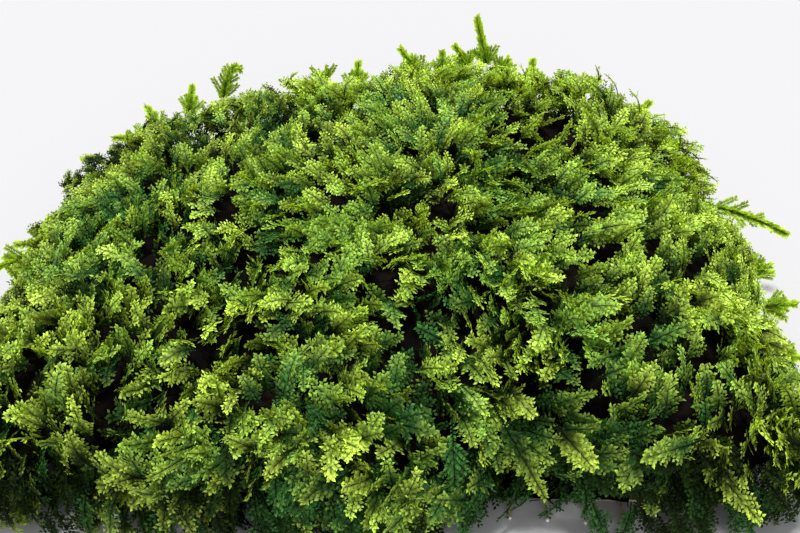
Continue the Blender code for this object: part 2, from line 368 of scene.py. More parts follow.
# The old colour is near black: partly old leaves, partly painted shade deep in the cushion.
moss_leaf = leaf_finish("moss_leaf", young=(0.60, 0.81, 0.10), old=(0.009, 0.023, 0.001),
                        cool=(0.085, 0.290, 0.060), cool_share=0.6, light_through=0.30)
young_leaf = leaf_finish("young_leaf", young=(0.44, 0.60, 0.07), old=(0.18, 0.32, 0.04),
                         cool=(0.10, 0.26, 0.06), cool_share=0.4, light_through=0.52)
print("leaf finishes:", moss_leaf.name, young_leaf.name)

# %% [markdown]
# The felt is brown to purple-brown in soft patches, and both colours are kept nearly black as painted
# shade, because it is seen only deep between fronds and under the edge. The wire is thin drawn steel that
# lay under water, warm and dull along its length, and paler on its rounded tips.

# %% Make the stem and steel finishes
FELT_PATCHES = {"From": 0.35, "To": 0.75, "Grain": 260.0, "Detail": 4.0}
STEEL_STAINS = {"From": 0.4, "To": 0.62, "Grain": 420.0, "Detail": 3.0}
STEEL_ROUGHNESS = 0.38


def patchy_finish(name, first, second, patches, roughness, metallic=0.0, shine=USUAL_SHINE):
    made, tree, shader = new_finish(name, roughness, metallic, shine)
    group = place_group(tree, soft_patches, {"First": first, "Second": second, **patches})
    tree.links.new(group.outputs["Colour"], shader.inputs["Base Color"])
    return made


# Painted shade: the felt colours are near black, partly the felt's own dark brown, partly shade deep in
# the clump.
felt_in_painted_shade = patchy_finish("felt_in_painted_shade", (0.0012, 0.0010, 0.0010), (0.0075, 0.0048, 0.0035),
                          FELT_PATCHES, roughness=0.85, shine=0.05)
mesh_steel = patchy_finish("mesh_steel", (0.50, 0.38, 0.23), (0.85, 0.74, 0.55), STEEL_STAINS,
                           STEEL_ROUGHNESS, metallic=0.3)
cut_steel = patchy_finish("cut_steel", (0.80, 0.76, 0.70), (0.95, 0.93, 0.90), STEEL_STAINS,
                          STEEL_ROUGHNESS, metallic=0.2)
print("other finishes:", [item.name for item in (felt_in_painted_shade, mesh_steel, cut_steel)])

# %% [markdown]
# ## Wire mesh
# The holder is a square cut from welded mesh: straight wires both ways, pressed into each other where
# they cross, with short cut ends all round. Geometry Nodes suit it, because one wire repeats along a
# line. The tree lays a row of wires and turns a second row across it. A slow noise sways them, as no
# wire is quite straight.

# %% Lay the wires out
WIRE_POINTS = 24
SWAY_GRAIN = 90.0


def scaled(tree, vector, factor):
    return add_node(tree, "ShaderNodeVectorMath", {0: vector, "Scale": factor}, operation="SCALE")


def joined(tree, *parts):
    made = tree.nodes.new("GeometryNodeJoinGeometry")
    for part in parts:
        tree.links.new(part.outputs[0], made.inputs[0])
    return made


def wire_rows(tree, give):
    """Two crossing rows of wire lines, one on the other, still without thickness."""
    half_row = math_node(tree, "MULTIPLY", math_node(tree, "SUBTRACT", give["Count"], 1), -0.5)
    start = add_node(tree, "ShaderNodeCombineXYZ", {"Y": math_node(tree, "MULTIPLY", half_row,
                     give["Pitch"])})
    step = add_node(tree, "ShaderNodeCombineXYZ", {"Y": give["Pitch"]})
    row = add_node(tree, "GeometryNodeMeshLine", {"Count": give["Count"], "Start Location": start,
                   "Offset": step})
    left = add_node(tree, "ShaderNodeCombineXYZ", {"X": math_node(tree, "MULTIPLY", give["Reach"], -1)})
    right = add_node(tree, "ShaderNodeCombineXYZ", {"X": give["Reach"]})
    line = add_node(tree, "GeometryNodeCurvePrimitiveLine", {"Start": left, "End": right})
    bends = add_node(tree, "GeometryNodeResampleCurve", {"Curve": line, "Count": WIRE_POINTS})
    wires = add_node(tree, "GeometryNodeInstanceOnPoints", {"Points": row, "Instance": bends})
    low = add_node(tree, "ShaderNodeCombineXYZ", {"Z": give["Radius"]})
    high = add_node(tree, "ShaderNodeCombineXYZ", {"Z": math_node(tree, "SUBTRACT", give["Top"],
                    give["Radius"])})
    low_row = add_node(tree, "GeometryNodeTransform", {"Geometry": wires, "Translation": low})
    high_row = add_node(tree, "GeometryNodeTransform", {"Geometry": wires, "Translation": high,
                        "Rotation": (0.0, 0.0, math.pi / 2)})
    return add_node(tree, "GeometryNodeRealizeInstances", {"Geometry": joined(tree, low_row, high_row)})


def swayed(tree, lines, bend):
    """Moves the lines a little sideways by a slow noise."""
    wander = add_node(tree, "ShaderNodeTexNoise", {"Scale": SWAY_GRAIN, "Detail": 1.0})
    centred = vector_node(tree, "SUBTRACT", wander.outputs["Color"], (0.5, 0.5, 0.5))
    flat = vector_node(tree, "MULTIPLY", centred, (1.0, 1.0, 0.0))
    return add_node(tree, "GeometryNodeSetPosition", {"Geometry": lines, "Offset": scaled(tree, flat,
                    bend)})


print("each wire has", WIRE_POINTS, "points")

# %% [markdown]
# A circle drawn along the lines makes them round, and a small ball on each end makes the cut tip. The
# size of the square comes from the solid, the pitch is the mesh's own.

# %% Grow the wire mesh
WIRE_COUNT = 15
WIRE_PITCH = 5.0 * MM
WIRE_RADIUS = 0.28 * MM
WIRE_SWAY = 0.5 * MM
WIRE_SIDES = 8
TIP_FINENESS = 2
mesh_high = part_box("wire_mesh")[1]


def painted(tree, shape, finish):
    return add_node(tree, "GeometryNodeSetMaterial", {"Geometry": shape, "Material": finish})


def build_wire_tree():
    takes = {"Geometry": "geometry", "Count": int, "Pitch": float, "Reach": float, "Radius": float,
             "Top": float, "Bend": float, "Steel": "material", "Cut": "material"}
    tree, enter, leave = open_tree("welded_wires", "GeometryNodeTree", takes, {"Geometry": "geometry"})
    give = enter.outputs
    lines = swayed(tree, wire_rows(tree, give), give["Bend"])
    profile = add_node(tree, "GeometryNodeCurvePrimitiveCircle", {"Resolution": WIRE_SIDES,
                       "Radius": give["Radius"]})
    tubes = add_node(tree, "GeometryNodeCurveToMesh", {"Curve": lines, "Profile Curve": profile,
                     "Fill Caps": True})
    ends = add_node(tree, "GeometryNodeCurveEndpointSelection")
    ball = add_node(tree, "GeometryNodeMeshIcoSphere", {"Radius": give["Radius"],
                    "Subdivisions": TIP_FINENESS})
    tips = add_node(tree, "GeometryNodeInstanceOnPoints", {"Points": lines, "Selection": ends,
                    "Instance": ball})
    both = joined(tree, painted(tree, tubes, give["Steel"]), painted(tree, tips, give["Cut"]))
    real = add_node(tree, "GeometryNodeRealizeInstances", {"Geometry": both})
    smooth = add_node(tree, "GeometryNodeSetShadeSmooth", {"Geometry": real})
    tree.links.new(smooth.outputs[0], leave.inputs[0])
    return tree


wires = grow("welded_wire_mesh", bpy.data.meshes.new("start"), build_wire_tree(), Count=WIRE_COUNT,
             Pitch=WIRE_PITCH, Reach=mesh_high.x - WIRE_RADIUS, Radius=WIRE_RADIUS, Top=mesh_high.z,
             Bend=WIRE_SWAY, Steel=mesh_steel, Cut=cut_steel)
finish_piece(wires, "mesh_wire", "wire_mesh")

# %% [markdown]
# ## Old growth
# Under the green lies the dead part: a felt of brown stems that fills the mesh and the heart of the
# cushion. It is seen between fronds, under the front edge and from below. Modelling each stem down to the
# bottom would waste most of them, so a dark lumpy body carries a tangle of short curved stems on its skin
# only. Its near-black colour is partly the felt's own and partly painted shade of the clump's depth.

# %% Build the tangle tree
STEM_ARCH = 0.35
STEM_TILT = (0.5, 0.9)
STEM_SIZES = (0.5, 1.3)
FULL_TURN = 6.28
ARC_POINTS = 4
STEM_SIDES = 3


def random_number(tree, low, high, seed):
    return add_node(tree, "FunctionNodeRandomValue", {"Min": low, "Max": high, "Seed": seed})


def random_vector(tree, low, high, seed):
    return add_node(tree, "FunctionNodeRandomValue", {"Min": low, "Max": high, "Seed": seed},
                    data_type="FLOAT_VECTOR")


def bowed_stem(tree, length):
    """One short stem that lies along X and arches up in its middle."""
    crest = add_node(tree, "ShaderNodeCombineXYZ", {"X": math_node(tree, "MULTIPLY", length, 0.5),
                     "Z": math_node(tree, "MULTIPLY", length, STEM_ARCH)})
    reach = add_node(tree, "ShaderNodeCombineXYZ", {"X": length})
    return add_node(tree, "GeometryNodeCurveQuadraticBezier", {"Resolution": ARC_POINTS,
                    "Start": (0, 0, 0), "Middle": crest, "End": reach})


def build_tangle_tree():
    takes = {"Geometry": "geometry", "Density": float, "Length": float, "Radius": float,
             "Skin": "material", "Stems": "material"}
    tree, enter, leave = open_tree("stem_tangle", "GeometryNodeTree", takes, {"Geometry": "geometry"})
    give = enter.outputs
    spots = add_node(tree, "GeometryNodeDistributePointsOnFaces", {"Mesh": give["Geometry"],
                     "Density": give["Density"], "Seed": 5})
    turn = random_vector(tree, (-STEM_TILT[0], -STEM_TILT[1], 0.0), (*STEM_TILT, FULL_TURN), 8)
    spin = add_node(tree, "FunctionNodeEulerToRotation", {"Euler": turn})
    turned = add_node(tree, "FunctionNodeRotateRotation", {"Rotation": spots.outputs["Rotation"],
                      "Rotate By": spin}, rotation_space="LOCAL")
    arcs = add_node(tree, "GeometryNodeInstanceOnPoints", {"Points": spots.outputs["Points"],
                    "Instance": bowed_stem(tree, give["Length"]), "Rotation": turned,
                    "Scale": random_number(tree, *STEM_SIZES, 9)})
    loose = add_node(tree, "GeometryNodeRealizeInstances", {"Geometry": arcs})
    profile = add_node(tree, "GeometryNodeCurvePrimitiveCircle", {"Resolution": STEM_SIDES,
                       "Radius": give["Radius"]})
    stems = add_node(tree, "GeometryNodeCurveToMesh", {"Curve": loose, "Profile Curve": profile})
    both = joined(tree, painted(tree, give["Geometry"], give["Skin"]),
                  painted(tree, stems, give["Stems"]))
    real = add_node(tree, "GeometryNodeRealizeInstances", {"Geometry": both})
    smooth = add_node(tree, "GeometryNodeSetShadeSmooth", {"Geometry": real})
    tree.links.new(smooth.outputs[0], leave.inputs[0])
    return tree


tangle = build_tangle_tree()
print("tangle tree has", len(tangle.nodes), "nodes")

# %% [markdown]
# The mat is the felt on the wires. Its solid is flat-sided, so a copy is cut finer and roughened by
# a noise, and the tangle grows on that. It is spread a little, to close the gap to the wire ends.

# %% Grow the mat on the wires
MAT_CREEP = 1.07
TANGLE_DENSITY = 0.10 / MM ** 2
TANGLE_STEM = 0.09 * MM


def roughened(body, cuts, depth, grain):
    """Cuts every face finer and moves the new points in and out by a noise."""
    bmesh.ops.triangulate(body, faces=body.faces[:])
    bmesh.ops.subdivide_edges(body, edges=body.edges[:], cuts=cuts, use_grid_fill=True)
    bmesh.ops.triangulate(body, faces=body.faces[:])
    body.normal_update()
    moves = [vert.normal * depth * noise.noise(vert.co / grain) for vert in body.verts]
    for vert, move in zip(body.verts, moves):
        vert.co += move
    mesh = bpy.data.meshes.new("body")
    body.to_mesh(mesh)
    body.free()
    return mesh


def grow_old(name, body, length):
    """Old growth on a body: its skin and the tangle on it."""
    item = grow(name, body, tangle, Density=TANGLE_DENSITY, Length=length, Radius=TANGLE_STEM,
                Skin=felt_in_painted_shade, Stems=felt_in_painted_shade)
    keep_off_floor(item)
    return item


mat_body = merged_copy("old_growth_mat")
bmesh.ops.scale(mat_body, verts=mat_body.verts, vec=(MAT_CREEP, MAT_CREEP, 1.0))
mat = grow_old("old_growth_felt", roughened(mat_body, cuts=2, depth=0.5 * MM, grain=1.6 * MM), 4.2 * MM)
finish_piece(mat, "old_growth", "old_growth_mat")

# %% [markdown]
# The cushion's solid has a pointed tuft on every facet. Each point is where a living frond ends, so
# the points are read from the solid and then taken off a copy of it. What is left is the heart.

# %% Find the cushion's tufts and its heart
def read_cushion():
    """The tips of the tufts, the three corners under each, and the body with the tufts taken off."""
    body = merged_copy("moss_cushion")
    body.normal_update()
    levels = [round(vert.co.z / MM, 3) for vert in body.verts]
    hood_level = max(set(levels), key=levels.count)
    points = [vert for vert, level in zip(body.verts, levels)
              if len(vert.link_edges) == 3 and level != hood_level]
    tips = np.array([vert.co for vert in points])
    corners = np.array([[edge.other_vert(vert).co for edge in vert.link_edges] for vert in points])
    bmesh.ops.dissolve_verts(body, verts=points)
    body.normal_update()
    return tips, corners, body


tuft_tips, tuft_corners, heart_body = read_cushion()
print("the cushion's solid has", len(tuft_tips), "tufts")

# %% [markdown]
# Moved in along its own normals, the heart becomes the dark mass that the fronds grow from. The
# tangle tree covers it with old stems, as it did the mat.

# %% Grow the heart
HEART_INSET = 3.0 * MM
HEART_ABOVE_WIRES = 1.2 * MM
for vert in heart_body.verts:
    vert.co -= vert.normal * HEART_INSET
    vert.co.z = max(vert.co.z, mesh_high.z + HEART_ABOVE_WIRES)
heart = grow_old("packed_old_stems", roughened(heart_body, cuts=1, depth=1.2 * MM, grain=2.6 * MM),
                 4.5 * MM)
finish_piece(heart, "moss", "moss_cushion")

# %% [markdown]
# ## Fronds
# Each living frond is a flat spray: a stem that rises from the heart and bows over, side branchlets
# on both its sides, longest a third of the way up, and two rows of tiny leaves on every one of them.
# The stems are worked out as plain chains of points, all fronds at once. That keeps command of where
# each frond ends, which is the point of its tuft. The first question is which way each one heads:
# outwards and with its neighbours, and the lower it grows, the more it sags.

# %% Give each frond its directions
SEED = 21
LAY_SPACING = 15.0 * MM
LAY_PLACE = 31.7
HANG_BELOW = 16.0 * MM
CORE_SHARE = 0.72
CORE_HEIGHT = 6.5 * MM
FACET_PULL = 0.8
LAY_OUTWARD = 0.4
LAY_WITH_NEIGHBOURS = 2.2
LAY_CHANCE = 0.5
SAG = 0.5
LOW_SAG = 3.0
FACE_OUT = 0.6
FACE_AWAY = 0.5
FACE_FRONT = 0.25
FACE_CHANCE = 0.45
rng = np.random.default_rng(SEED)


def unit(vectors):
    return vectors / np.linalg.norm(vectors, axis=-1, keepdims=True)


def square_to(axes, vectors):
    """Each vector without its part along its axis, one unit long."""
    return unit(vectors - axes * np.sum(vectors * axes, axis=1, keepdims=True))


def ramp(values, start, end):
    """Nothing up to the start, one past the end, and even in between."""
    return np.clip((values - start) / (end - start), 0.0, 1.0)


def drift(points, spacing, place):
    """A slowly changing vector at each point, so that neighbours lean alike."""
    shifts = (Vector((place, 0, 0)), Vector((0, place, 0)), Vector((0, 0, place)))
    return np.array([[noise.noise(Vector(point) / spacing + shift) for shift in shifts]
                     for point in points])


def growth_directions(points, facets, rise):
    """For each frond: out of the cushion, the way its tip heads, and its broad side."""
    core = points * (CORE_SHARE, CORE_SHARE, 0.0) + (0.0, 0.0, CORE_HEIGHT)
    outs = unit(unit(points - core) + FACET_PULL * facets)
    away = unit(points * (1.0, 1.0, 0.0))
    steep = 1.0 - np.abs(outs[:, 2:])
    low = ramp(points[:, 2:], HANG_BELOW, 0.0)
    lays = LAY_OUTWARD * away + drift(points, LAY_SPACING, LAY_PLACE) * LAY_WITH_NEIGHBOURS
    lays += rng.normal(0.0, LAY_CHANCE, points.shape)
    lays -= (SAG + LOW_SAG * low) * steep * (0.0, 0.0, 1.0)
    heading = unit(square_to(outs, lays) + rng.uniform(*rise, (len(points), 1)) * outs)
    facing = FACE_OUT * outs + FACE_AWAY * away - (0.0, FACE_FRONT, 0.0)
    facing += rng.normal(0.0, FACE_CHANCE, points.shape)
    return outs, heading, unit(np.cross(facing, heading))


print("fronds start to sag", HANG_BELOW / MM, "mm above the floor")

# %% [markdown]
# The photo shows dark hollows where few young fronds stand. Each is named here by its middle and its
# radius in millimetres, from front to back. Fronds thin out towards the middle of one and are painted
# darker there, partly older growth and partly painted shade.

# %% Name the hollows
HOLLOWS = [
    (20, -44, 3, 9), (33, -44, 3, 9), (27, -44, 9, 8), (42, -42, 10, 10), (16, -45, 11, 8),
    (52, -42, 9, 6), (36, -44, 15, 9), (12, -47, 14, 6), (-12, -49, 10, 8), (-36, -46, 10, 7),
    (22, -41, 16, 7), (46, -44, 17, 4), (32, -41, 20, 6), (25, -38, 20, 6), (8, -43, 20, 6),
    (-3, -43, 20, 5), (-23, -42, 19, 5), (-32, -44, 19, 5), (-11, -38, 22, 5), (5, -35, 24, 6),
    (-15, -31, 22, 4), (-7, -31, 23, 4), (16, -31, 24, 4), (9, -28, 26, 5), (38, -26, 27, 5),
    (28, -24, 27, 4), (-41, -22, 21, 5), (-17, -17, 26, 5), (14, -16, 28, 4), (41, -14, 26, 5),
    (-33, -12, 25, 4), (-17, -5, 27, 5), (2, -4, 30, 5), (9, -3, 30, 6), (27, -2, 29, 5),
    (18, 4, 31, 6), (4, 11, 32, 5), (-33, 14, 24, 5), (-22, 20, 26, 5), (32, 14, 29, 4),
]


def hollowness(points):
    """One in the middle of a hollow, falling to nothing at its edge."""
    places = np.array(HOLLOWS)
    gaps = np.linalg.norm(points[:, None] - places[None, :, :3] * MM, axis=2)
    return ramp(gaps / (places[:, 3] * MM), 1.0, 0.0).max(axis=1)


print("the cushion has", len(HOLLOWS), "hollows, the widest", 2 * max(row[3] for row in HOLLOWS), "mm")

# %% [markdown]
# A whole frond has one tint and one amount of wear. Both could be chance alone, but they follow the
# place, and the place part is mostly painted light and shade: the rim and the back are painted
# yellow-green and lighter, as if lit from behind, and high fronds lighter, as if lit from above. The
# hollows and the foot are darker, partly older growth and partly painted shade, and the left side, the
# front slope and a band behind the middle are painted darker as shade.

# %% Work out tint and wear by place
TINT_MIDDLE = 0.60
TINT_DRIFT = 0.9
TINT_SPACING = 9.0 * MM
TINT_PLACE = 4.4
TINT_CHANCE = 0.2
# Painted backlight: the rim and the back are painted yellow-green.
TINT_LOST_TO_PAINTED_RIM_LIGHT = 0.5
TINT_LOST_TO_PAINTED_BACK_LIGHT = 0.6
RIM = 60 * MM
BACK = 45 * MM
LEFT = -50 * MM
FRONT = (-15 * MM, -40 * MM)
BAND_MIDDLE = 22 * MM
BAND_HALF = 15 * MM
WEAR_CHANCE = 0.24
# Painted light high up and at the back, painted shade on the left, the front slope and a band.
PAINTED_LIGHT_HIGH = 0.15
PAINTED_LIGHT_AT_BACK = 0.35
PAINTED_SHADE_LEFT = 0.15
PAINTED_SHADE_FRONT = 0.12
PAINTED_SHADE_BAND = 0.2
PAINTED_SHADE_BAND_LEFT = 0.35


def towards_back(tips):
    return ramp(tips[:, 1], 0.0, BACK) ** 2


def tint_and_painted_backlight_by_place(tips):
    """The share of blue-green in each frond, lowered at the rim and the back as painted backlight."""
    rim = ramp(np.linalg.norm(tips[:, :2], axis=1), 0.0, RIM) ** 3
    tint = TINT_MIDDLE + TINT_DRIFT * drift(tips, TINT_SPACING, TINT_PLACE)[:, 0]
    tint += rng.normal(0.0, TINT_CHANCE, len(tips))
    # Painted backlight: the rim and the back lose blue-green and turn yellow-green.
    return np.clip(tint - TINT_LOST_TO_PAINTED_RIM_LIGHT * rim - TINT_LOST_TO_PAINTED_BACK_LIGHT * towards_back(tips), 0.0, 1.0)


def wear_and_painted_shading_by_place(tips):
    """How much older and darker than usual each frond looks: partly chance and age, partly painted light
    and shade.
    """
    x, y, z = tips.T
    left = ramp(x, 0.0, LEFT)
    band = ramp(np.abs(y - BAND_MIDDLE), BAND_HALF, 0.0)
    # Hollows and the foot darken: partly older growth, partly painted shade.
    wear = rng.normal(0.0, WEAR_CHANCE, len(tips)) + hollowness(tips) + ramp(z, HANG_BELOW, 0.0)
    # Painted light: fronds high up and at the back are lighter, as if lit from above and behind.
    wear -= PAINTED_LIGHT_HIGH * ramp(z, HANG_BELOW, 2 * HANG_BELOW)
    wear -= PAINTED_LIGHT_AT_BACK * towards_back(tips)
    # Painted shade: the left side, the front slope and a band behind the middle are darker.
    wear += PAINTED_SHADE_LEFT * left + PAINTED_SHADE_FRONT * ramp(y, *FRONT)
    return wear + (PAINTED_SHADE_BAND + PAINTED_SHADE_BAND_LEFT * left) * band


print("wear is least behind", BACK / MM, "mm and most below", HANG_BELOW / MM, "mm")

# %% [markdown]
# A stem or a branchlet is a bend through three points: root, middle and tip. With each point goes
# what the leaf tree will read there: the broad side, the leaf's size, its age and tint, and how
# thick the stem is.

# %% Bend stems into chains
STEM_STEPS = 6
BRANCH_STEPS = 4


def from_to(ends, share):
    """A value that passes evenly from one end to the other."""
    return ends[0] + (ends[1] - ends[0]) * share


def arc(start, middle, end, steps):
    """Points and directions along one smooth bend for every frond at once."""
    t = np.linspace(0.0, 1.0, steps)[None, :, None]
    start, middle, end = start[:, None], middle[:, None], end[:, None]
    points = (1 - t) ** 2 * start + 2 * t * (1 - t) * middle + t ** 2 * end
    return points, unit((1 - t) * (middle - start) + t * (end - middle))


def chain(points, sides, size, age, tint, stem, owner):
    """Stems of one kind with what the leaf tree reads at each of their points."""
    shape = points.shape[:2]
    return {
        "points": points,
        "side": np.broadcast_to(sides, points.shape),
        "leaf_size": np.broadcast_to(size, shape),
        "age": np.broadcast_to(age, shape),
        "tint": np.broadcast_to(tint[:, None], shape),
        "stem": np.broadcast_to(stem, shape),
        "owner": owner,
    }


print("a stem bends in", STEM_STEPS - 1, "steps and a branchlet in", BRANCH_STEPS - 1)

# %% [markdown]
# Branchlets leave the main stem on alternate sides at about fifty degrees, and get shorter towards the
# tip, which gives the frond its fir-like outline. Ages run from old at the root to young at the tip, so
# every frond is dark inside and bright at its end. That darkening is partly real age and partly painted
# shade of the cushion's depth.

# %% Work out the branchlets
BRANCH_RANKS = 8
BRANCH_ANGLE = math.radians(52)
BRANCH_ANGLE_CHANCE = 0.12
BRANCH_REACH = 1.2 * MM
BRANCH_LEAST = 0.25 * MM
BRANCH_REACHES = (0.6, 1.1)
BRANCH_ZONE = (0.26, 0.94)
BRANCH_LIMITS = (0.2, 0.96)
BRANCH_SHIFT = 0.3
FULL_BELOW = 0.55
FULLNESS_CURVE = 0.7
BRANCH_BOW = 0.16
BRANCH_LIFT = (-0.45, 0.3)
BRANCH_LEAVES = (0.85, 0.65)
# Darker towards the root: partly real age, partly painted shade.
AGE_AND_SHADE_AT_ROOT = 1.35
AGE_FALL = 1.2
AGE_KEPT = (1.0, 0.6)
AGE_LOST = 0.2


def branchlets(rank, ranks, roots, bend, tips, side, scale, wear, leaf, tint, owner):
    """The branchlets of one rank, one on every frond, on alternate sides going up."""
    each = (len(roots), 1)
    step = (rank + rng.uniform(-BRANCH_SHIFT, BRANCH_SHIFT, each)) / (ranks - 1)
    place = np.clip(from_to(BRANCH_ZONE, step), *BRANCH_LIMITS)
    start = (1 - place) ** 2 * roots + 2 * place * (1 - place) * bend + place ** 2 * tips
    along = unit((1 - place) * (bend - roots) + place * (tips - bend))
    flat_side = square_to(along, side)
    facing = np.cross(flat_side, along)
    way = 1 if rank % 2 else -1
    angle = BRANCH_ANGLE + rng.normal(0.0, BRANCH_ANGLE_CHANCE, each)
    heading = along * np.cos(angle) + way * flat_side * np.sin(angle)
    fullness = ramp(place, 1.0, FULL_BELOW) ** FULLNESS_CURVE
    reach = BRANCH_REACH * scale * fullness * rng.uniform(*BRANCH_REACHES, each) + BRANCH_LEAST
    end = start + (heading + BRANCH_BOW * along + rng.uniform(*BRANCH_LIFT, each) * facing) * reach
    points, bearing = arc(start, start + heading * 0.5 * reach, end, BRANCH_STEPS)
    sides = unit(np.cross(bearing, facing[:, None]))
    share = np.linspace(0.0, 1.0, BRANCH_STEPS)[None, :]
    age = wear + AGE_AND_SHADE_AT_ROOT * (1.0 - place) ** AGE_FALL * from_to(AGE_KEPT, share) - AGE_LOST * share
    size = leaf * from_to(BRANCH_LEAVES, share) * np.ones(each)
    return chain(points, sides, size, np.clip(age, 0.0, 1.0), tint, 0.0, owner)


print("a usual frond has", BRANCH_RANKS, "branchlets of up to", round(BRANCH_REACH / MM, 1), "mm")

# %% [markdown]
# The frond is put together from its tip down, because the tip's place is what is known. Its upper
# half follows the heading, and its lower half turns in to the heart.

# %% Put fronds together
LEAF_LENGTH = 0.95 * MM
TYPICAL_LENGTH = 6.0 * MM
LENGTH_CHANCE = (0.85, 1.15)
SCALE_LIMITS = (0.7, 1.2)
UPPER_SHARE = 0.55
ROOT_LEAN = 0.5
STEM_LEAVES = (1.05, 0.70)
FIRST_LEAVES = 0.2
FULL_LEAVES_AT = 1.0 / 3.0
STEM_RADII = (0.10 * MM, 0.045 * MM)
TIP_MARGIN = 0.5 * MM
TOP_MARGIN = 1.0 * MM


def frond_chains(tips, outs, heading, side, lengths, wear, ranks):
    """Main stems and branchlets of a set of fronds that end at the given points."""
    owner = np.arange(len(tips))
    lengths = (lengths * rng.uniform(*LENGTH_CHANCE, len(tips)))[:, None]
    scale = np.clip(lengths / TYPICAL_LENGTH, *SCALE_LIMITS)
    leaf = LEAF_LENGTH * np.sqrt(scale)
    tips = tips - heading * TIP_MARGIN
    tips[:, 2] = np.minimum(tips[:, 2], cad_box[1].z - TOP_MARGIN)
    bend = tips - heading * UPPER_SHARE * lengths
    roots = bend - unit(outs + ROOT_LEAN * heading) * (1.0 - UPPER_SHARE) * lengths
    points = arc(roots, bend, tips, STEM_STEPS)[0]
    tint = tint_and_painted_backlight_by_place(tips)
    wear = (wear + wear_and_painted_shading_by_place(tips))[:, None]
    share = np.linspace(0.0, 1.0, STEM_STEPS)[None, :]
    age = np.clip(wear + AGE_AND_SHADE_AT_ROOT * (1.0 - share) ** AGE_FALL, 0.0, 1.0)
    size = leaf * np.clip(share / FULL_LEAVES_AT, FIRST_LEAVES, 1.0) * from_to(STEM_LEAVES, share)
    chains = [chain(points, side[:, None], size, age, tint, from_to(STEM_RADII, share), owner)]
    for rank in range(ranks):
        chains.append(branchlets(rank, ranks, roots, bend, tips, side, scale, wear, leaf, tint, owner))
    return chains


print("leaves are", round(LEAF_LENGTH / MM, 2), "mm long on a usual frond")

# %% [markdown]
# The chains become one mesh of bare edges per part of the cushion, with the numbers stored as point
# attributes, because that is what a node tree can read.

# %% Turn chains into meshes of edges
POINT_NUMBERS = ("leaf_size", "age", "tint", "stem")


def stems_mesh(name, chains, keep=None):
    chosen = []
    for item in chains:
        mask = slice(None) if keep is None else keep[item["owner"]]
        chosen.append({label: values[mask] for label, values in item.items()})
    edges = []
    start = 0
    for item in chosen:
        count, steps = item["points"].shape[:2]
        index = start + np.arange(count * steps).reshape(count, steps)
        edges.append(np.stack([index[:, :-1], index[:, 1:]], axis=-1).reshape(-1, 2))
        start += count * steps
    edges = np.concatenate(edges)
    mesh = bpy.data.meshes.new(name)
    mesh.vertices.add(start)
    mesh.edges.add(len(edges))
    points = np.concatenate([item["points"].reshape(-1, 3) for item in chosen])
    mesh.vertices.foreach_set("co", points.ravel())
    mesh.edges.foreach_set("vertices", edges.ravel())
    sides = np.concatenate([item["side"].reshape(-1, 3) for item in chosen])
    mesh.attributes.new("side", "FLOAT_VECTOR", "POINT").data.foreach_set("vector", sides.ravel())
    for label in POINT_NUMBERS:
        values = np.concatenate([item[label].ravel() for item in chosen])
        mesh.attributes.new(label, "FLOAT", "POINT").data.foreach_set("value", values)
    mesh.update()
    return mesh


print("each point of a stem carries", len(POINT_NUMBERS), "numbers and its side")

# %% [markdown]
# A real leaf is a pointed blade about a millimetre long, folded along its keel. It is drawn once, as
# two triangles, because there will be some four hundred thousand of them. Its `reach` is stored on
# it here, and every copy keeps it.

# %% Draw the leaf
LEAF_HALF_WIDTH = 0.30
LEAF_WIDEST_AT = 0.46
LEAF_FOLD = 0.08
LEAF_DROOP = 0.05


def leaf_shape():
    """One leaf along +Y, one unit long, with its edges up and its point down."""
    mesh = bpy.data.meshes.new("one_leaf")
    left = (-LEAF_HALF_WIDTH, LEAF_WIDEST_AT, LEAF_FOLD)
    right = (LEAF_HALF_WIDTH, LEAF_WIDEST_AT, LEAF_FOLD)
    points = [(0, 0, 0), left, (0, 1, -LEAF_DROOP), right]
    mesh.from_pydata(points, [], [(0, 2, 1), (0, 3, 2)])
    reach = mesh.attributes.new("reach", "FLOAT", "POINT")
    reach.data.foreach_set("value", [point[1] for point in points])
    mesh.shade_smooth()
    return bpy.data.objects.new("one_leaf", mesh)


one_leaf = leaf_shape()
print("one leaf has", triangle_count(one_leaf), "triangles")

# %% [markdown]
# Leaves stand in two rows, on alternate sides of their stem, and lean forward. The tree walks each
# chain in even steps and turns a leaf to one side, then the other. Small random turns and sizes keep
# the rows from looking stamped. The stem itself becomes a thin three-sided tube.

# %% Build the leaf tree
LEAF_LIFT = (-0.05, 0.30)
LEAF_SPRAWL = 0.14
LEAF_TWIST = 0.3
LEAF_SIZES = (0.8, 1.15)
THINNEST_STEM = 0.01 * MM


def stored(tree, name, kind="FLOAT"):
    return add_node(tree, "GeometryNodeInputNamedAttribute", {"Name": name}, data_type=kind)


